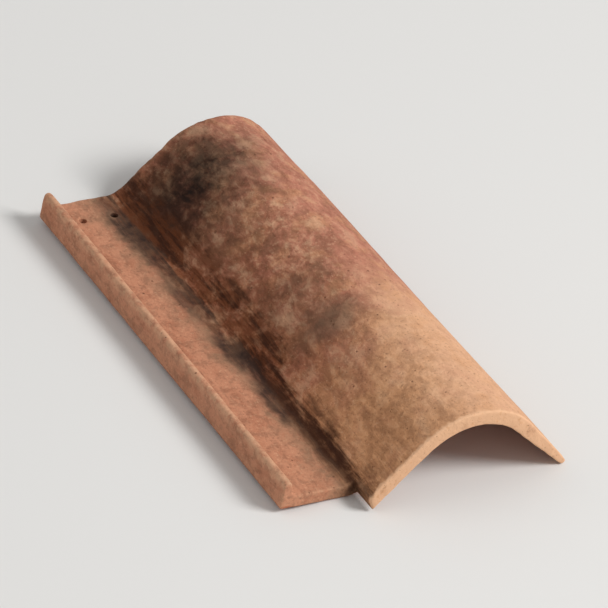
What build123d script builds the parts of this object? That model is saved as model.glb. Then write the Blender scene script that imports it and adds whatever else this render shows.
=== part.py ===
from build123d import *
from math import asin, atan2, cos, degrees, hypot, radians, sin, tan
import os

# A one-piece clay roof tile with an S-shaped section: a flat water pan on the left
# and a round barrel on the right, pressed from one slab of clay and fired.
# It is drawn as it is laid: X runs across to the barrel side, Y runs up the slope
# from the front edge to the head, Z is up, and zero height is the pan's underside.

tile_length = 440
pan_thickness = 11
wall = 13.5

# Barrel at the front edge, and how far each side draws in towards the head, so that
# the head end is small enough to slip inside a front end of the same size
barrel_centre_x = 105
barrel_centre_z = 12
barrel_radius = 71
flank_angle = radians(46.7)
left_draw_in = 7.5
right_draw_in = 11.5

# The barrel's lapping edge thins out to a rounded tip, just above the pan's top face
lap_inner_angle = radians(40)
lap_clearance = 0.6

# The pan's free edge turns up into a lip, low enough for a barrel to pass over it
cover_width = 212
pan_left_x = -55
lip_width = 8
lip_height = 15
lip_foot_radius = 7
valley_radius = 14
keel_radius = 10

# Two corners are cut away, the pan's at the front and the lapping edge's at the head
head_lap = 66
front_notch_depth = 25
front_notch_foot_x = 18
front_notch_lean = radians(19.6)
notch_clearance = 3
head_corner_x = cover_width + pan_left_x - notch_clearance
head_corner_y = tile_length - head_lap + front_notch_depth - notch_clearance

# Nail holes through the pan near the head
nail_hole_diameter = 6.5
nail_hole_from_head = 28
nail_hole_first_from_lip = 17
nail_hole_pitch = 30
nail_hole_count = 2

# The edges of both ends are broken, wider at the front rim
rim_bevel = 1.3
head_bevel = 0.9


def out_from(centre, radius, angle):
    """The point at this radius, the angle turned from straight up towards +X."""
    return centre[0] + radius * sin(angle), centre[1] + radius * cos(angle)


def lap_tip(centre, outer_radius, inner_radius):
    """Centre and radius of the round tip that touches both faces of the right flank."""
    ratio = sin(lap_inner_angle) / sin(flank_angle)
    drop = centre[1] - pan_thickness - lap_clearance
    top = ratio * (outer_radius + drop * cos(flank_angle)) - drop * cos(lap_inner_angle) - inner_radius
    radius = top / (ratio * (1 + cos(flank_angle)) + 1 - cos(lap_inner_angle))
    height = radius - drop
    reach = (outer_radius - radius - height * cos(flank_angle)) / sin(flank_angle)
    return (centre[0] + reach, centre[1] + height), radius


def flank_foot(centre, radius, height):
    """Where the left flank's face, tangent to this radius, comes down to a height."""
    start = out_from(centre, radius, -flank_angle)
    return start[0] - (start[1] - height) / tan(flank_angle)


def barrel_at(along):
    """Centre, outer radius and inner radius; along is 0 at the front, 1 at the head."""
    centre = (barrel_centre_x + along * (left_draw_in - right_draw_in) / 2, barrel_centre_z)
    outer_radius = barrel_radius - along * (left_draw_in + right_draw_in) / 2 * sin(flank_angle)
    return centre, outer_radius, outer_radius - wall


def section_at(along):
    """The S-shaped outline on an upright plane across the tile."""
    centre, outer_radius, inner_radius = barrel_at(along)
    tip, tip_radius = lap_tip(centre, outer_radius, inner_radius)
    tip_angle = (flank_angle + lap_inner_angle) / 2 + radians(90)

    keel_x = flank_foot(centre, inner_radius, 0) - keel_radius * tan(flank_angle / 2)
    keel = (keel_x, keel_radius)
    valley_x = flank_foot(centre, outer_radius, pan_thickness) - valley_radius * tan(flank_angle / 2)
    valley = (valley_x, pan_thickness + valley_radius)

    lip_right_x = pan_left_x + lip_width
    lip_foot = (lip_right_x + lip_foot_radius, pan_thickness + lip_foot_radius)
    lip_round = (pan_left_x + lip_width / 2, pan_thickness + lip_height - lip_width / 2)

    down = radians(180)
    left = radians(-90)
    right = radians(90)
    corner = (pan_left_x, 0)
    keel_left = out_from(keel, keel_radius, down)
    keel_right = out_from(keel, keel_radius, down - flank_angle)
    inside_left = out_from(centre, inner_radius, -flank_angle)
    inside_right = out_from(centre, inner_radius, lap_inner_angle)
    tip_inside = out_from(tip, tip_radius, lap_inner_angle + down)
    tip_outside = out_from(tip, tip_radius, flank_angle)
    outside_right = out_from(centre, outer_radius, flank_angle)
    outside_left = out_from(centre, outer_radius, -flank_angle)
    valley_right = out_from(valley, valley_radius, down - flank_angle)
    valley_left = out_from(valley, valley_radius, down)
    foot_right = out_from(lip_foot, lip_foot_radius, down)
    foot_left = out_from(lip_foot, lip_foot_radius, left)
    lip_inside = out_from(lip_round, lip_width / 2, right)
    lip_outside = out_from(lip_round, lip_width / 2, left)

    edges = [
        Line(corner, keel_left),
        ThreePointArc(keel_left, out_from(keel, keel_radius, down - flank_angle / 2), keel_right),
        Line(keel_right, inside_left),
        ThreePointArc(inside_left, out_from(centre, inner_radius, 0), inside_right),
        Line(inside_right, tip_inside),
        ThreePointArc(tip_inside, out_from(tip, tip_radius, tip_angle), tip_outside),
        Line(tip_outside, outside_right),
        ThreePointArc(outside_right, out_from(centre, outer_radius, 0), outside_left),
        Line(outside_left, valley_right),
        ThreePointArc(valley_right, out_from(valley, valley_radius, down - flank_angle / 2), valley_left),
        Line(valley_left, foot_right),
        ThreePointArc(foot_right, out_from(lip_foot, lip_foot_radius, radians(-135)), foot_left),
        Line(foot_left, lip_inside),
        ThreePointArc(lip_inside, out_from(lip_round, lip_width / 2, 0), lip_outside),
        Line(lip_outside, corner),
    ]
    upright = Plane(origin=(0, tile_length * along, 0), x_dir=(1, 0, 0), z_dir=(0, -1, 0))
    return upright * make_face(edges)


def front_notch():
    """Cuts the pan's front corner back, with its side face leaning to suit the flank."""
    over = 100
    lean = tan(front_notch_lean)
    outline = Polyline(
        (front_notch_foot_x + over * lean, -over),
        (front_notch_foot_x - over * lean, over),
        (pan_left_x - over, over),
        (pan_left_x - over, -over),
        close=True,
    )
    upright = Plane(origin=(0, -over, 0), x_dir=(1, 0, 0), z_dir=(0, -1, 0))
    return extrude(upright * make_face(outline), -(over + front_notch_depth))


def head_corner():
    """Cuts the lapping edge's head corner off square, for the length that is lapped."""
    over = 100
    return Pos(head_corner_x, head_corner_y, -over) * Box(over, over, 2 * over, align=Align.MIN)


def nail_holes():
    """Straight holes through the pan, in a row along the head."""
    row = Pos(pan_left_x + lip_width + nail_hole_first_from_lip, tile_length - nail_hole_from_head, 0)
    holes = [
        row * Pos(number * nail_hole_pitch, 0, 0) * Cylinder(nail_hole_diameter / 2, 4 * pan_thickness)
        for number in range(nail_hole_count)
    ]
    return holes


def resting_roll():
    """Angle in degrees that brings the keel and the lapping tip down to one floor."""
    centre, outer_radius, inner_radius = barrel_at(0)
    tip, tip_radius = lap_tip(centre, outer_radius, inner_radius)
    keel_x = flank_foot(centre, inner_radius, 0) - keel_radius * tan(flank_angle / 2)
    across = tip[0] - keel_x
    rise = tip[1] - keel_radius
    return degrees(atan2(rise, across) + asin((keel_radius - tip_radius) / hypot(across, rise)))


def roof_tile():
    """The whole tile, as it lies by itself on a level floor."""
    tile = loft([section_at(0), section_at(1)], ruled=True)
    tile = chamfer(tile.faces().sort_by(Axis.Y)[0].edges(), rim_bevel)
    tile = chamfer(tile.faces().sort_by(Axis.Y)[-1].edges(), head_bevel)
    tile = tile - front_notch() - head_corner() - nail_holes()
    tile = Rot(0, resting_roll(), 0) * tile
    box = tile.bounding_box()
    return Pos(-box.center().X, -box.center().Y, -box.min.Z) * tile


tile = roof_tile()
tile.label = "roof_tile"

os.makedirs("parts", exist_ok=True)
export_step(tile, "parts/roof_tile.step")
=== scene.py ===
from math import asin, atan2, cos, hypot, pi, radians, sin, tan

import bpy
import bmesh
import numpy as np
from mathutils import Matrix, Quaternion, Vector, noise


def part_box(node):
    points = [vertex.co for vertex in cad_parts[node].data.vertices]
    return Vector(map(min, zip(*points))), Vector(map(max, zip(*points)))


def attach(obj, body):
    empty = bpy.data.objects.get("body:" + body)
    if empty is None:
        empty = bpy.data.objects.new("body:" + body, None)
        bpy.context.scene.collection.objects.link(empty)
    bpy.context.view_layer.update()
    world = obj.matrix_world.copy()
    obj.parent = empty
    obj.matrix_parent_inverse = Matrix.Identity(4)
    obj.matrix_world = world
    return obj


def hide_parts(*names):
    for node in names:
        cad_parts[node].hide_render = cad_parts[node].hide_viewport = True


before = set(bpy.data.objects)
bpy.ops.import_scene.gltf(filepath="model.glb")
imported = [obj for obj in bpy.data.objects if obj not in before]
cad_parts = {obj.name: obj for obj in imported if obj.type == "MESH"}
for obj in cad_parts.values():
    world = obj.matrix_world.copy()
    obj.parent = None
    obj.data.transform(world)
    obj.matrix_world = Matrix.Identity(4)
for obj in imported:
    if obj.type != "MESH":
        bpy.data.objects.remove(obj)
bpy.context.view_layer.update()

# The view. The tile is seen from its front left and from above, through a long lens that is
# rolled a little, as in the photo. The lens is longer here, so that the tile fills the frame.
photo_width_px = 608
photo_focal_length_px = 3965
closer_up = 2.15
view_distance = 7.0
view_azimuth = radians(-34.54)
view_elevation = radians(36.51)
view_roll = radians(8.77)
sensor_width = 36


def place_aimed(thing, place, target, roll=0.0):
    """Puts a camera or lamp at a place, looking at a target."""
    thing.location = place
    thing.rotation_mode = "QUATERNION"
    level = (target - place).to_track_quat("-Z", "Y")
    thing.rotation_quaternion = level @ Quaternion((0, 0, 1), roll)
    bpy.context.scene.collection.objects.link(thing)


def outward(azimuth, elevation):
    """Unit vector from the tile towards a place; azimuth 0 is in front of its front rim."""
    return Vector((sin(azimuth) * cos(elevation), -cos(azimuth) * cos(elevation), sin(elevation)))


cad_low, cad_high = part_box("roof_tile")
tile_centre = (cad_low + cad_high) / 2
camera_data = bpy.data.cameras.new("view")
camera_data.sensor_width = sensor_width
camera_data.lens = sensor_width * photo_focal_length_px * closer_up / photo_width_px
camera = bpy.data.objects.new("view", camera_data)
view_place = tile_centre + view_distance * outward(view_azimuth, view_elevation)
place_aimed(camera, view_place, tile_centre, view_roll)
bpy.context.scene.camera = camera
bpy.context.scene.view_settings.view_transform = "Standard"


# The studio. A pale matt floor and an even pale surround. A large soft lamp stands high on the
# right, which is the side that the photo's light comes from, and a weak one stands opposite it.
floor_half = 25.0
floor_colour = (0.77, 0.76, 0.74, 1)
floor_roughness = 0.9
floor_gloss = 0.2
surround_light = 0.42
surround_light_colour = (1, 1, 1, 1)
surround_seen = 0.80
surround_seen_colour = (1, 0.99, 0.97, 1)
lamp_distance = 6.0
key_direction = (radians(48), radians(42))
key_size = 2.25
key_share = 0.80
fill_direction = (radians(-110), radians(35))
fill_size = 4.0
fill_share = 0.10


def soft_lamp(name, direction, size, share):
    """A square lamp that lights a surface facing it to this share of its written colour."""
    lamp_data = bpy.data.lights.new(name, "AREA")
    lamp_data.shape = "SQUARE"
    lamp_data.size = size
    lamp_data.energy = share * (pi * lamp_distance) ** 2
    lamp = bpy.data.objects.new(name, lamp_data)
    place_aimed(lamp, tile_centre + lamp_distance * outward(*direction), tile_centre)


def add_node(tree, kind, **settings):
    """A shader node with its settings; a setting that starts with in_ fills or links a socket."""
    made = tree.nodes.new(kind)
    for name, value in settings.items():
        if not name.startswith("in_"):
            setattr(made, name, value)
    for name, value in settings.items():
        if name.startswith("in_"):
            key = name[3:].replace("_", " ")
            socket = made.inputs[int(key)] if key.isdigit() else made.inputs[key]
            if isinstance(value, bpy.types.NodeSocket):
                tree.links.new(value, socket)
            else:
                socket.default_value = value
    return made


soft_lamp("key_lamp", key_direction, key_size, key_share)
soft_lamp("fill_lamp", fill_direction, fill_size, fill_share)

surround = bpy.data.worlds.new("studio")
surround.use_nodes = True
around = surround.node_tree
around.nodes.clear()
lit_by = add_node(
    around, "ShaderNodeBackground", in_Color=surround_light_colour, in_Strength=surround_light
)
seen = add_node(
    around, "ShaderNodeBackground", in_Color=surround_seen_colour, in_Strength=surround_seen
)
rays = add_node(around, "ShaderNodeLightPath")
is_seen = rays.outputs["Is Camera Ray"]
for ray_kind in ("Is Glossy Ray", "Is Transmission Ray"):
    either = add_node(
        around, "ShaderNodeMath", operation="MAXIMUM", in_0=is_seen, in_1=rays.outputs[ray_kind]
    )
    is_seen = either.outputs[0]
mixed = add_node(
    around, "ShaderNodeMixShader", in_0=is_seen, in_1=lit_by.outputs[0], in_2=seen.outputs[0]
)
add_node(around, "ShaderNodeOutputWorld", in_Surface=mixed.outputs[0])
bpy.context.scene.world = surround

floor_mesh = bpy.data.meshes.new("floor")
floor_corners = [(-1, -1), (1, -1), (1, 1), (-1, 1)]
floor_mesh.from_pydata(
    [(floor_half * x, floor_half * y, 0) for x, y in floor_corners], [], [range(4)]
)
floor = bpy.data.objects.new("floor", floor_mesh)
bpy.context.scene.collection.objects.link(floor)
floor_paint = bpy.data.materials.new("floor_paint")
floor_paint.use_nodes = True
floor_shader = floor_paint.node_tree.nodes["Principled BSDF"]
floor_shader.inputs["Base Color"].default_value = floor_colour
floor_shader.inputs["Roughness"].default_value = floor_roughness
floor_shader.inputs["Specular IOR Level"].default_value = floor_gloss
floor_mesh.materials.append(floor_paint)


# The tile. One slab of red clay, pressed to a flat pan with a turned-up lip and a tapering
# barrel, with two cut corners and two nail holes, then coated with sandy slip and fired. In
# use it is nailed at its head; here it lies by itself, on its keel and its lapping tip.
tile_length = 0.440
pan_thickness = 0.011
wall = 0.0135
barrel_centre = (0.105, 0.012)
barrel_radius = 0.071
flank_angle = radians(46.7)
left_draw_in = 0.0075
right_draw_in = 0.0115
lap_inner_angle = radians(40)
lap_clearance = 0.0006
pan_left_x = -0.055
lip_width = 0.008
lip_height = 0.015
lip_foot_radius = 0.007
valley_radius = 0.014
keel_radius = 0.010
front_notch_depth = 0.025
notch_top_x = 0.0120
notch_under_x = 0.0171
head_corner_x = 0.154
head_corner_y = 0.396
nail_hole_radius = 0.00325
nail_hole_from_head = 0.028
nail_hole_x = (-0.030, 0.0)

# Its mesh: a grid of cells over the slab, in layers, with the front rim at y = 0. The lip,
# the barrel and the lap have set numbers of cells, and the pan has as many as fit.
cell = 0.0045
layers = 4
lip_round_cells = 4
lip_foot_cells = 3
barrel_cells = 38
lap_cells = 13

# Sharp corners are rounded, less at the holes and on the thin lap. Making the mesh finer draws
# an eight-sided hole in to a share of its radius, so the holes start that much larger.
rim_round = 0.0013
hole_round_share = 0.50
thin_round_share = 0.75
thin_from_x = 0.178
sharp_angle = radians(50)
hole_drawn_in = 0.925
around_hole = [(1, 0), (1, 1), (0, 1), (-1, 1), (-1, 0), (-1, -1), (0, -1), (1, -1)]

# Angles, turned from straight up towards +X
down = pi
left = -pi / 2
right = pi / 2


def out_from(centre, radius, angle):
    """The point at this radius, the angle turned from straight up towards +X."""
    return centre[0] + radius * sin(angle), centre[1] + radius * cos(angle)


def arc(centre, radius, start, stop, steps=40):
    """Points round an arc."""
    return [out_from(centre, radius, angle) for angle in np.linspace(start, stop, steps + 1)]


def spread(path, count, start_x, stop_x):
    """Evenly spaced points along a path that only runs towards +X, between two places."""
    path = np.array(path)
    reach = np.append(0, np.cumsum(np.hypot(*np.diff(path, axis=0).T)))
    ends = np.interp((start_x, stop_x), path[:, 0], reach)
    stops = np.linspace(*ends, count + 1)
    return np.stack([np.interp(stops, reach, path[:, 0]), np.interp(stops, reach, path[:, 1])], axis=1)


def through(stops, step):
    """Places from the first stop to the last, through each stop, about a step apart."""
    places = [stops[0]]
    for low, high in zip(stops, stops[1:]):
        places.extend(np.linspace(low, high, max(1, round((high - low) / step)) + 1)[1:])
    return np.array(places)


def barrel_at(along):
    """Centre, outer radius and inner radius; along is 0 at the front, 1 at the head."""
    centre = (barrel_centre[0] + along * (left_draw_in - right_draw_in) / 2, barrel_centre[1])
    outer_radius = barrel_radius - along * (left_draw_in + right_draw_in) / 2 * sin(flank_angle)
    return centre, outer_radius, outer_radius - wall


def lap_tip(centre, outer_radius, inner_radius):
    """Centre and radius of the round tip that touches both faces of the right flank."""
    ratio = sin(lap_inner_angle) / sin(flank_angle)
    drop = centre[1] - pan_thickness - lap_clearance
    gap = ratio * (outer_radius + drop * cos(flank_angle)) - drop * cos(lap_inner_angle) - inner_radius
    radius = gap / (ratio * (1 + cos(flank_angle)) + 1 - cos(lap_inner_angle))
    height = radius - drop
    reach = (outer_radius - radius - height * cos(flank_angle)) / sin(flank_angle)
    return (centre[0] + reach, centre[1] + height), radius


def flank_foot(centre, radius, height):
    """Where the left flank's face, tangent to this radius, comes down to a height."""
    start = out_from(centre, radius, -flank_angle)
    return start[0] - (start[1] - height) / tan(flank_angle)


def keel_at(centre, inner_radius):
    """Across the tile, the middle of the rounded keel under the left flank."""
    return flank_foot(centre, inner_radius, 0) - keel_radius * tan(flank_angle / 2)


foot_x = pan_left_x + lip_width + lip_foot_radius
hole_lines = [x + side * cell for x in nail_hole_x for side in (-1, 0, 1)]
pan_top_x = through([foot_x, *hole_lines, notch_top_x], cell)
pan_under_x = np.interp(
    pan_top_x, [foot_x, hole_lines[-1], notch_top_x], [foot_x, hole_lines[-1], notch_under_x]
)
nail_hole_y = tile_length - nail_hole_from_head
hole_rows = [nail_hole_y + side * cell for side in (-1, 0, 1)]
rows_y = through([0, front_notch_depth, head_corner_y, *hole_rows, tile_length], cell)
lip_cells = lip_round_cells + 1 + lip_foot_cells


def section_at(along):
    """The tile's section: points along its top face, through the heart of the clay and along
    its underside, points round the lapping tip, and the crown's place across."""
    centre, outer_radius, inner_radius = barrel_at(along)
    tip, tip_radius = lap_tip(centre, outer_radius, inner_radius)
    keel_x = keel_at(centre, inner_radius)
    valley_x = flank_foot(centre, outer_radius, pan_thickness) - valley_radius * tan(flank_angle / 2)
    lip_round = (pan_left_x + lip_width / 2, pan_thickness + lip_height - lip_width / 2)
    lip_foot = (foot_x, pan_thickness + lip_foot_radius)

    # Both faces as lines: the lip, the pan, the valley or keel, the barrel and the tip
    lip_line = arc(lip_round, lip_width / 2, left, right, lip_round_cells)
    lip_line += arc(lip_foot, lip_foot_radius, left, -down, lip_foot_cells)
    top_line = [(foot_x, pan_thickness)]
    top_line += arc((valley_x, pan_thickness + valley_radius), valley_radius, down, down - flank_angle)
    top_line += arc(centre, outer_radius, -flank_angle, flank_angle)
    top_line += [out_from(tip, tip_radius, flank_angle)]
    under_line = [(foot_x, 0)]
    under_line += arc((keel_x, keel_radius), keel_radius, down, down - flank_angle)
    under_line += arc(centre, inner_radius, -flank_angle, lap_inner_angle)
    under_line += [out_from(tip, tip_radius, lap_inner_angle + down)]

    # The same number of points along each, so that the cells of both faces lie in pairs
    sides = []
    for line, pan_x, notch_x in (
        (top_line, pan_top_x, notch_top_x),
        (under_line, pan_under_x, notch_under_x),
    ):
        pan = np.stack([pan_x, np.interp(pan_x, *np.array(line).T)], axis=1)
        barrel = spread(line, barrel_cells, notch_x, head_corner_x)
        lap = spread(line, lap_cells, head_corner_x, line[-1][0])
        sides.append(np.concatenate([pan, barrel[1:], lap[1:]]))
    lip_under = [(x, 0) for x in np.linspace(pan_left_x, foot_x, lip_cells + 1)[:-1]]
    top = np.concatenate([lip_line[:lip_cells], sides[0]])
    under = np.concatenate([lip_under, sides[1]])
    heart = (top + under) / 2
    lip_heart = [lip_round] * (lip_round_cells + 1)
    lip_heart += arc(lip_foot, lip_foot_radius + lip_width / 2, left, -down, lip_foot_cells)
    heart[1:lip_cells] = lip_heart[1:lip_cells]
    tip_line = arc(tip, tip_radius, flank_angle, lap_inner_angle + down, layers)
    return top, heart, under, tip_line, centre[0]


columns = lip_cells + len(pan_top_x) + barrel_cells + lap_cells
rows = len(rows_y)
notch_column = lip_cells + len(pan_top_x) - 1
corner_column = notch_column + barrel_cells
notch_row = int(np.argmin(abs(rows_y - front_notch_depth)))
corner_row = int(np.argmin(abs(rows_y - head_corner_y)))
hole_row = int(np.argmin(abs(rows_y - nail_hole_y)))
hole_columns = [lip_cells + int(np.argmin(abs(pan_top_x - x))) for x in nail_hole_x]

# Each point of the grid, on a curve from the top through the heart to the underside, and its
# place on the tile unrolled flat: metres across from the crown, metres up from the front rim,
# and 0 on top to 1 on the underside
points = np.zeros((columns, rows, layers + 1, 3))
unrolled = np.zeros((columns, rows, layers + 1, 3))
for row, y in enumerate(rows_y):
    top, heart, under, tip_line, crown_x = section_at(y / tile_length)
    depth = np.linspace(0, 1, layers + 1)[None, :, None]
    layered = top[:, None] * (1 - depth) ** 2 + under[:, None] * depth ** 2
    layered += heart[:, None] * 2 * depth * (1 - depth)
    points[:, row, :, (0, 2)] = np.moveaxis(layered, 2, 0)
    points[-1, row, :, (0, 2)] = np.array(tip_line).T
    points[:, row, :, 1] = y
    across = np.append(0, np.cumsum(np.hypot(*np.diff(top, axis=0).T)))
    crown_across = np.interp(crown_x, top[lip_cells:, 0], across[lip_cells:])
    unrolled[:, row, :, 0] = (across - crown_across)[:, None]
    unrolled[:, row, :, 1] = y
    unrolled[:, row, :, 2] = depth[:, :, 0]

# The front notch, the head's corner and the nail holes are left out of the grid
cells = {(column, row) for column in range(columns - 1) for row in range(rows - 1)}
cells -= {(column, row) for column in range(notch_column) for row in range(notch_row)}
cells -= {(column, row) for column in range(corner_column, columns) for row in range(corner_row, rows)}
for x, column in zip(nail_hole_x, hole_columns):
    cells -= {(column + side, hole_row + end) for side in (-1, 0) for end in (-1, 0)}
    for across, along in around_hole:
        reach = nail_hole_radius / hole_drawn_in / hypot(across, along)
        points[column + across, hole_row + along, :, 0] = x + reach * across
        points[column + across, hole_row + along, :, 1] = nail_hole_y + reach * along

numbers = {}


def number(corner, layer):
    """The vertex at a corner of the cells and a layer, counted when it is first used."""
    return numbers.setdefault((*corner, layer), len(numbers))


faces = []
for column, row in sorted(cells):
    ring = [(column, row), (column + 1, row), (column + 1, row + 1), (column, row + 1)]
    beside = [(column, row - 1), (column + 1, row), (column, row + 1), (column - 1, row)]
    faces.append([number(corner, 0) for corner in ring])
    faces.append([number(corner, layers) for corner in reversed(ring)])
    for start, stop, other in zip(ring, ring[1:] + ring[:1], beside):
        if other not in cells:
            for layer in range(layers):
                above = [number(stop, layer), number(start, layer)]
                below = [number(start, layer + 1), number(stop, layer + 1)]
                faces.append(above + below)

used = tuple(np.array(list(numbers)).T)
cage = bpy.data.meshes.new("tile_cage")
cage.from_pydata(points[used].tolist(), [], faces)
flat_map = cage.attributes.new("unrolled", "FLOAT_VECTOR", "POINT")
flat_map.data.foreach_set("vector", unrolled[used].astype(np.float32).ravel())

shape = bmesh.new()
shape.from_mesh(cage)
rounding = shape.edges.layers.float.new("bevel_weight_edge")
for edge in shape.edges:
    if edge.calc_face_angle() > sharp_angle:
        middle = (edge.verts[0].co + edge.verts[1].co) / 2
        by_hole = any(hypot(middle.x - x, middle.y - nail_hole_y) < cell for x in nail_hole_x)
        thin = thin_round_share if middle.x > thin_from_x else 1
        edge[rounding] = hole_round_share if by_hole else thin
shape.to_mesh(cage)
shape.free()

caged_tile = bpy.data.objects.new("caged_tile", cage)
bpy.context.scene.collection.objects.link(caged_tile)
rounded = caged_tile.modifiers.new("rounded_rims", "BEVEL")
rounded.limit_method = "WEIGHT"
rounded.use_clamp_overlap = False
rounded.width = rim_round
rounded.segments = 2
finer = caged_tile.modifiers.new("finer", "SUBSURF")
finer.levels = 1
finer.render_levels = 1
evaluated = caged_tile.evaluated_get(bpy.context.evaluated_depsgraph_get())
tile_mesh = bpy.data.meshes.new_from_object(evaluated)
tile_mesh.name = "fired_tile"
bpy.data.objects.remove(caged_tile)

# Hand and press marks: a slow warp from drying, shallow lumps, long drags, and worn rims
warp_reach = 0.0008
warp_size = 0.110
warp_seeds = (6, 7, 8)
lump_depth = 0.00022
lump_size = 0.022
lump_seed = 2
drag_depth = 0.00022
drag_width = 0.007
drag_length = 0.130
drag_seed = 3
wear_depth = 0.0010
wear_reach = 0.0045
wear_start = -0.10
knock_size = 0.017
knock_seed = 4
small_knock_size = knock_size / 3
small_knock_share = 0.5
small_knock_seed = 5
seed_steps = (17.3, 5.1, 9.7)

# How a vertex is found to be on a rim, and how far its mark spreads
edge_gain = 5.2
edge_smoothings = 2
edge_widening = 2
normal_smoothings = 5


def read(collection, name, width):
    """A mesh collection's values as rows of numbers."""
    values = np.zeros(len(collection) * width, np.float32)
    collection.foreach_get(name, values)
    return values.reshape(-1, width).astype(float)


def waves(places, size, seed):
    """Smooth random waves between -1 and 1 at each place, of one size or one along each axis."""
    start = Vector([seed * step for step in seed_steps])
    return np.array([noise.noise(Vector(place) + start) for place in places / np.array(size)])


places = read(tile_mesh.vertices, "co", 3)
normals = read(tile_mesh.vertices, "normal", 3)
edges = np.zeros(len(tile_mesh.edges) * 2, np.int32)
tile_mesh.edges.foreach_get("vertices", edges)
ends = edges.reshape(-1, 2)
neighbours = np.bincount(edges, minlength=len(places))


def averaged(values):
    """Each vertex's value becomes the mean of its neighbours' values."""
    total = np.zeros_like(values)
    np.add.at(total, ends[:, 0], values[ends[:, 1]])
    np.add.at(total, ends[:, 1], values[ends[:, 0]])
    return total / neighbours.reshape(-1, *[1] * (values.ndim - 1))


hollow = ((averaged(places) - places) * normals).sum(axis=1)
edge_share = np.clip(-hollow * edge_gain / rim_round, 0, 1)
for _ in range(edge_smoothings):
    edge_share = (edge_share + averaged(edge_share)) / 2
edge_share = np.clip(edge_share * edge_widening, 0, 1)

unrolled_places = read(tile_mesh.attributes["unrolled"].data, "vector", 3)
from_end = np.minimum(unrolled_places[:, 1], tile_length - unrolled_places[:, 1])
from_face = np.minimum(unrolled_places[:, 2], 1 - unrolled_places[:, 2]) * wall
near_rim = np.clip(1 - np.hypot(from_end, from_face) / wear_reach, 0, 1)
knocks = waves(places, knock_size, knock_seed)
knocks += small_knock_share * waves(places, small_knock_size, small_knock_seed)
worn_away = wear_depth * near_rim * np.clip(knocks - wear_start, 0, 1)
soft_normals = normals
for _ in range(normal_smoothings):
    soft_normals = (soft_normals + averaged(soft_normals)) / 2
raised = lump_depth * waves(places, lump_size, lump_seed)
raised += drag_depth * waves(places, (drag_width, drag_length, drag_width), drag_seed)
warped = [warp_reach * waves(places, warp_size, seed) for seed in warp_seeds]

# It lies by itself on its keel and its lapping tip, so it rolls a little to the right
front_centre, front_outer, front_inner = barrel_at(0)
front_tip, front_tip_radius = lap_tip(front_centre, front_outer, front_inner)
tip_across = front_tip[0] - keel_at(front_centre, front_inner)
tip_rise = front_tip[1] - keel_radius
tip_slope = atan2(tip_rise, tip_across)
roll = tip_slope + asin((keel_radius - front_tip_radius) / hypot(tip_across, tip_rise))
rolled = np.array([[cos(roll), 0, sin(roll)], [0, 1, 0], [-sin(roll), 0, cos(roll)]])
pressed = places + raised[:, None] * normals - worn_away[:, None] * soft_normals
lying = (pressed + np.stack(warped, axis=1)) @ rolled.T
low = lying.min(axis=0)
high = lying.max(axis=0)
shift = np.array(tile_centre) - (low + high) / 2
shift[2] = cad_low.z - low[2]
lying += shift
tile_mesh.vertices.foreach_set("co", lying.astype(np.float32).ravel())
# The rim share is kept for the finish, which paints rims paler: rubbed wear and painted highlight
rubbed_and_highlit_edges = tile_mesh.attributes.new("edge", "FLOAT", "POINT")
rubbed_and_highlit_edges.data.foreach_set("value", edge_share.astype(np.float32))
tile_mesh.update()
tile_mesh.polygons.foreach_set("use_smooth", [True] * len(tile_mesh.polygons))


# The fired finish. Red clay under a sandy slip that is thick at the front and thin towards
# the head, smoked in places by the kiln, with dirt and painted shade down the left flank and valley.
def paint(red, green, blue):
    """A colour as a screen shows it, 0 to 255, turned by the screen's curve to light values."""
    shown = np.array([red, green, blue]) / 255
    return (*np.where(shown <= 0.04045, shown / 12.92, ((shown + 0.055) / 1.055) ** 2.4), 1)


sand = paint(223, 172, 135)
# Tan sand: random tone, and painted shade on the left of the crown
tan_sand_and_shade = paint(209, 152, 109)
rose = paint(187, 121, 99)
# Brown: random tone, and painted shade on the left of the crown
brown_and_shade = paint(171, 108, 81)
pan_clay = paint(197, 137, 107)
bare_clay = paint(190, 118, 90)
deep_clay = paint(168, 98, 72)
charcoal = paint(28, 15, 10)
smoke = paint(96, 72, 56)
hazy_smoke = paint(112, 82, 64)
# Darks of the lower left flank and its crease: dirt streaks and painted shade
flank_brown_shade = paint(106, 58, 31)
flank_dark_shade = paint(58, 29, 15)
# Dirt and painted shade for the valley
valley_dirt_and_shade = paint(82, 60, 47)
valley_dark_shade = paint(46, 35, 31)
stain = paint(100, 64, 43)
moss_grey = paint(104, 90, 70)
pale_grain = paint(236, 194, 156)
# Rim sand: paler slip, and painted light on the front face
rim_sand_and_light = paint(228, 180, 142)

clay = bpy.data.materials.new("fired_clay_finish")
clay.use_nodes = True
tree = clay.node_tree
tree.nodes.clear()

on_tile = add_node(tree, "ShaderNodeTexCoord").outputs["Object"]
unrolled_map = add_node(tree, "ShaderNodeAttribute", attribute_name="unrolled").outputs["Vector"]
edge_wear_and_highlight = add_node(tree, "ShaderNodeAttribute", attribute_name="edge").outputs["Fac"]


def grain(waves_per_metre, detail=3.0, roughness=0.55, stretch=(1, 1, 1), curl=0.0):
    """Cloudy noise over the tile, from 0 to 1."""
    mapped = add_node(tree, "ShaderNodeMapping", in_Vector=on_tile, in_Scale=stretch)
    cloud = add_node(
        tree, "ShaderNodeTexNoise", in_Vector=mapped.outputs[0], in_Scale=waves_per_metre,
        in_Detail=detail, in_Roughness=roughness, in_Distortion=curl,
    )
    return cloud.outputs["Fac"]


def fade(value, start, end, at_start=0.0, at_end=1.0):
    """A mask that goes smoothly from one amount to another as a value goes from start to end."""
    step = add_node(
        tree, "ShaderNodeMapRange", interpolation_type="SMOOTHSTEP", in_Value=value,
        in_From_Min=start, in_From_Max=end, in_To_Min=at_start, in_To_Max=at_end,
    )
    return step.outputs["Result"]


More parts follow.
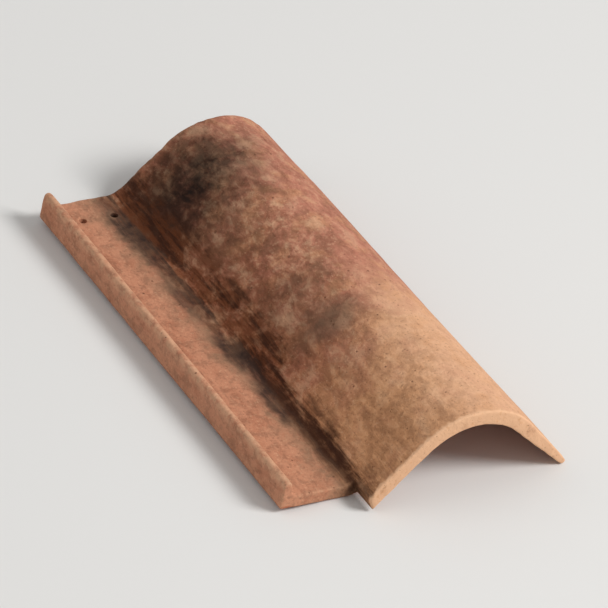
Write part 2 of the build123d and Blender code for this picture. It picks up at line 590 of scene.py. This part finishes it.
def left_of(across, line, soft, amount=1.0, beyond=0.0):
    """A mask with this amount left of a line that runs up the tile, and another beyond it."""
    return fade(across, line + soft, line - soft, beyond, amount)


def right_of(across, line, soft, amount=1.0):
    """A mask with this amount right of a line that runs up the tile."""
    return fade(across, line - soft, line + soft, 0.0, amount)


def thinned(cloud, start, end, least):
    """A mask for weakening a stain, from its least amount up to 1 as a noise goes from start to end."""
    return fade(cloud, start, end, least, 1.0)


def joined(operation, first, *others):
    """Masks joined one after another by one kind of sum; any of them may be a plain number."""
    for other in others:
        first = add_node(tree, "ShaderNodeMath", operation=operation, in_0=first, in_1=other).outputs[0]
    return first


def times(*masks):
    """The product of several masks."""
    return joined("MULTIPLY", *masks)


def plus(*masks):
    """The sum of several masks."""
    return joined("ADD", *masks)


def blend(amount, under_colour, over_colour):
    """One colour laid over another by an amount."""
    mix = add_node(tree, "ShaderNodeMix", data_type="RGBA")
    sockets = {socket.identifier: socket for socket in (*mix.inputs, *mix.outputs)}
    for key, value in (("Factor_Float", amount), ("A_Color", under_colour), ("B_Color", over_colour)):
        if isinstance(value, bpy.types.NodeSocket):
            tree.links.new(value, sockets[key])
        else:
            sockets[key].default_value = value
    return sockets["Result_Color"]


def mottle(colour, *tints):
    """A colour with tints over it, each growing to its amount as a noise goes from start to end."""
    for cloud, start, end, amount, tint in tints:
        colour = blend(times(fade(cloud, start, end), amount), colour, tint)
    return colour


def frayed(waves_per_metre, reach, swing=4.0):
    """The unrolled map with its lines wandering by about a reach, made up for noise's low swing."""
    cloud = add_node(
        tree, "ShaderNodeTexNoise", in_Vector=on_tile, in_Scale=waves_per_metre, in_Detail=5.0
    )
    centred = add_node(
        tree, "ShaderNodeVectorMath", operation="SUBTRACT",
        in_0=cloud.outputs["Color"], in_1=(0.5, 0.5, 0.5),
    )
    scaled = add_node(
        tree, "ShaderNodeVectorMath", operation="SCALE", in_0=centred.outputs[0], in_Scale=swing * reach
    )
    moved = add_node(
        tree, "ShaderNodeVectorMath", operation="ADD", in_0=unrolled_map, in_1=scaled.outputs[0]
    )
    return moved.outputs[0]


cloudy = frayed(32.0, reach=0.011)
ragged = frayed(110.0, reach=0.0030)


def smudge(centre, reach, soft=0.85, lines=cloudy):
    """A soft oval on the unrolled tile, with its place from the crown and front and half sizes."""
    local = add_node(
        tree, "ShaderNodeMapping", in_Vector=lines,
        in_Scale=(1 / reach[0], 1 / reach[1], 0),
        in_Location=(-centre[0] / reach[0], -centre[1] / reach[1], 0),
    )
    distance = add_node(tree, "ShaderNodeVectorMath", operation="LENGTH", in_0=local.outputs[0])
    return fade(distance.outputs["Value"], 1.0, 1.0 - soft)


def pits_in(waves_per_metre, rim, bottom, cells_from, cells_full):
    """Round pits in a few cells of a cell pattern, 0 outside the rim and 1 at the bottom."""
    pattern = add_node(tree, "ShaderNodeTexVoronoi", in_Vector=on_tile, in_Scale=waves_per_metre)
    cell_values = add_node(tree, "ShaderNodeSeparateXYZ", in_Vector=pattern.outputs["Color"])
    chosen = fade(cell_values.outputs["X"], cells_from, cells_full)
    return times(fade(pattern.outputs["Distance"], rim, bottom), chosen)


# Places across and up the unrolled tile, and through it: exact, and for cloudy and ragged edges
exact = add_node(tree, "ShaderNodeSeparateXYZ", in_Vector=unrolled_map)
cloudy_places = add_node(tree, "ShaderNodeSeparateXYZ", in_Vector=cloudy)
ragged_places = add_node(tree, "ShaderNodeSeparateXYZ", in_Vector=ragged)
across_exact, up_exact, through_exact = exact.outputs["X"], exact.outputs["Y"], exact.outputs["Z"]
across_soft, up_soft = cloudy_places.outputs["X"], cloudy_places.outputs["Y"]
across_near, up_near = ragged_places.outputs["X"], ragged_places.outputs["Y"]

# Clouds in the clay and on it, from the broadest to the finest
drawn_out = (1, 0.7, 1)
blotches = grain(45.0, detail=4.0, roughness=0.60)
patches = grain(60.0, detail=4.0, roughness=0.60, stretch=drawn_out, curl=0.4)
mottles = grain(145.0, detail=5.0, roughness=0.58, stretch=drawn_out, curl=0.4)
streaks = grain(130.0, detail=5.0, roughness=0.66, stretch=(1, 0.13, 1), curl=0.3)
grit = grain(420.0, detail=3.0, roughness=0.60)
fine_grit = grain(1100.0, detail=2.0, roughness=0.60)

# The slip, from pale sand at the front to rose at the head, browner on the left of the crown, partly as
# painted shade
# Left of the crown the sand turns tan and the rose turns brown, partly as painted shade
front_coat = blend(left_of(across_soft, line=-0.027, soft=0.035), sand, tan_sand_and_shade)
head_coat = blend(left_of(across_soft, line=-0.020, soft=0.026), rose, brown_and_shade)
rosy_spot = smudge(centre=(-0.048, 0.262), reach=(0.044, 0.036))
head_coat = blend(times(rosy_spot, 0.55), head_coat, rose)
towards_head = plus(up_soft, left_of(across_soft, line=-0.016, soft=0.020, amount=0.060))
coated = blend(fade(towards_head, 0.128, 0.238), front_coat, head_coat)
rose_share = fade(towards_head, 0.100, 0.240, at_start=0.16, at_end=0.44)
coated = mottle(
    coated,
    (blotches, 0.46, 0.66, 0.44, tan_sand_and_shade),
    (blotches, 0.52, 0.34, rose_share, rose),
)

# Leathery mottles, stronger on the left of the crown and towards the head, and sandy grit
near_head = (0.150, 0.270)
left_share = left_of(across_soft, line=-0.007, soft=0.029, beyond=0.34)
mottled = plus(left_share, times(fade(towards_head, *near_head), 0.36))
patched = times(mottled, fade(towards_head, *near_head, at_start=0.50, at_end=1.15))
coated = mottle(
    coated,
    (mottles, 0.62, 0.34, times(mottled, 0.36), stain),
    (patches, 0.54, 0.34, times(patched, 0.36), stain),
    (patches, 0.50, 0.68, times(plus(patched, 0.15), 0.26), pale_grain),
    (mottles, 0.52, 0.72, times(mottled, 0.20), pale_grain),
    (grit, 0.42, 0.31, 0.42, stain),
    (grit, 0.60, 0.70, 0.30, pale_grain),
)

# Faint streaks down both flanks, where rain runs
left_rain = left_of(across_soft, line=-0.069, soft=0.021, amount=0.34)
right_rain = right_of(across_soft, line=0.055, soft=0.025, amount=0.16)
coated = mottle(coated, (streaks, 0.56, 0.38, plus(left_rain, right_rain), stain))

# Kiln smoke: charcoal at the head, a patch in the middle and thinner clouds between
smoke_patchy = times(thinned(mottles, 0.68, 0.34, least=0.86), thinned(patches, 0.66, 0.42, least=0.85))
for centre, reach, amount, colour in (
    ((-0.052, 0.385), (0.094, 0.074), 1.00, charcoal),
    ((-0.102, 0.382), (0.044, 0.066), 0.92, charcoal),
    ((-0.049, 0.172), (0.042, 0.036), 0.96, hazy_smoke),
    ((-0.058, 0.218), (0.046, 0.032), 0.38, smoke),
    ((-0.020, 0.222), (0.020, 0.028), 0.26, smoke),
    ((-0.066, 0.318), (0.052, 0.044), 0.38, smoke),
    ((-0.088, 0.245), (0.026, 0.140), 0.40, stain),
):
    coated = blend(times(smudge(centre, reach), smoke_patchy, amount), coated, colour)

# The pan, plain salmon clay that turns grey and speckled towards the valley
pan_finish = mottle(
    pan_clay,
    (patches, 0.52, 0.34, 0.45, brown_and_shade),
    (mottles, 0.56, 0.36, 0.30, smoke),
    (grit, 0.46, 0.30, 0.30, stain),
    (grit, 0.54, 0.72, 0.25, pale_grain),
)
greyed = times(right_of(across_soft, line=-0.143, soft=0.013), thinned(patches, 0.38, 0.60, least=0.30))
pan_finish = blend(times(greyed, 0.60), pan_finish, moss_grey)
pan_share = left_of(across_near, line=-0.127, soft=0.007, amount=0.94)
coated = blend(pan_share, coated, pan_finish)

# Streaks of dirt and painted shade down the left flank, which reach higher towards the head
across_streaked = plus(across_exact, times(plus(streaks, -0.5), 0.026))
lower_at_front = fade(up_exact, 0.085, 0.225, at_start=0.022, at_end=0.0)
flank_top = plus(across_streaked, lower_at_front, fade(patches, 0.35, 0.65, at_start=-0.006, at_end=0.006))
# The mask of dirt streaks and painted shade on the lower left flank
flank = times(
    left_of(flank_top, line=-0.0915, soft=0.0115),
    right_of(across_streaked, line=-0.1255, soft=0.0045),
    thinned(streaks, 0.68, 0.42, least=0.58),
    thinned(mottles, 0.70, 0.42, least=0.72),
    thinned(patches, 0.66, 0.44, least=0.80),
    fade(up_exact, 0.0, 0.080, at_start=0.50, at_end=0.96),
)
flank_dirt_and_shade_colour = blend(fade(streaks, 0.58, 0.40), flank_brown_shade, flank_dark_shade)
coated = blend(flank, coated, flank_dirt_and_shade_colour)

# Dirt and painted shade lying along the valley, in a line and in drifts beside it
valley = times(
    left_of(across_streaked, line=-0.1155, soft=0.0025),
    right_of(across_streaked, line=-0.129, soft=0.005, amount=0.84),
)
for centre, reach, amount in (
    ((-0.126, 0.388), (0.017, 0.084), 0.95),
    ((-0.126, 0.292), (0.015, 0.056), 0.85),
    ((-0.125, 0.212), (0.016, 0.046), 0.92),
    ((-0.126, 0.140), (0.014, 0.056), 0.90),
    ((-0.124, 0.070), (0.010, 0.048), 0.60),
):
    valley_spot = times(smudge(centre, reach, soft=0.65, lines=ragged), amount)
    valley = joined("MAXIMUM", valley, valley_spot)
valley = times(
    valley,
    left_of(across_streaked, line=-0.1155, soft=0.0035),
    thinned(streaks, 0.66, 0.44, least=0.62),
    thinned(patches, 0.66, 0.46, least=0.72),
    fade(up_exact, 0.0, 0.070, at_start=0.60),
)
# The valley is painted darker: dirt and painted shade
coated = blend(valley, coated, blend(fade(blotches, 0.60, 0.40), valley_dirt_and_shade, valley_dark_shade))

# The darkest line, painted shade and dirt in the crease beside the front half of the barrel
crease_dirt_and_shade = times(
    left_of(across_streaked, line=-0.1125, soft=0.0035),
    right_of(across_streaked, line=-0.123, soft=0.004),
    fade(up_exact, 0.230, 0.140),
    fade(up_exact, 0.0, 0.030, at_start=0.50),
    thinned(mottles, 0.72, 0.42, least=0.75),
)
coated = blend(times(crease_dirt_and_shade, 0.88), coated, flank_dark_shade)

# The front face is paler sand, partly painted light, and every rim is rubbed pale in places, partly
# painted highlight
front_sand_and_light = mottle(
    rim_sand_and_light,
    (grain(260.0), 0.42, 0.30, 0.55, tan_sand_and_shade),
    (grit, 0.34, 0.26, 0.60, stain),
)
# The front face painted paler: thicker slip and painted light
coated = blend(fade(up_near, 0.0035, 0.0005, at_end=0.92), coated, front_sand_and_light)
# Convex rims paler: rubbed wear and painted highlight
coated = mottle(coated, (grain(150.0), 0.32, 0.60, times(edge_wear_and_highlight, 0.35), pale_grain))

# The underside is bare clay; inside the front rim the slip ends in a ragged line
body = mottle(
    bare_clay,
    (grain(30.0, detail=4.0), 0.35, 0.65, 1.0, deep_clay),
    (streaks, 0.40, 0.62, 0.35, tan_sand_and_shade),
    (grit, 0.48, 0.32, 0.35, stain),
)
under_side = times(fade(through_exact, 0.93, 0.985), fade(up_near, 0.006, 0.013))
finish = blend(under_side, coated, body)

# Small pits and finer specks where grit has popped out
popped = pits_in(40.0, rim=0.070, bottom=0.035, cells_from=0.78, cells_full=0.80)
specks = pits_in(130.0, rim=0.16, bottom=0.08, cells_from=0.80, cells_full=0.84)
pits = joined("MAXIMUM", popped, specks)
finish = blend(times(pits, 0.62), finish, stain)

# Matt fired clay with a fine tooth that catches the light
tooth_height = 0.0010
tooth_strength = 0.55
clay_gloss = 0.15
tooth = times(mottles, 1.6)
for cloud, share in ((grit, 0.8), (fine_grit, 0.35), (streaks, 0.8), (pits, -1.2)):
    tooth = plus(tooth, times(cloud, share))
bumped = add_node(
    tree, "ShaderNodeBump", in_Height=tooth, in_Strength=tooth_strength, in_Distance=tooth_height
)
shader = add_node(
    tree, "ShaderNodeBsdfPrincipled", in_Base_Color=finish, in_Specular_IOR_Level=clay_gloss,
    in_Roughness=fade(grit, 0.3, 0.7, at_start=0.80, at_end=0.95), in_Normal=bumped.outputs["Normal"],
)
add_node(tree, "ShaderNodeOutputMaterial", in_Surface=shader.outputs[0])
tile_mesh.materials.append(clay)

tile = bpy.data.objects.new("fired_roof_tile", tile_mesh)
bpy.context.scene.collection.objects.link(tile)
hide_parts("roof_tile")
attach(tile, "root")
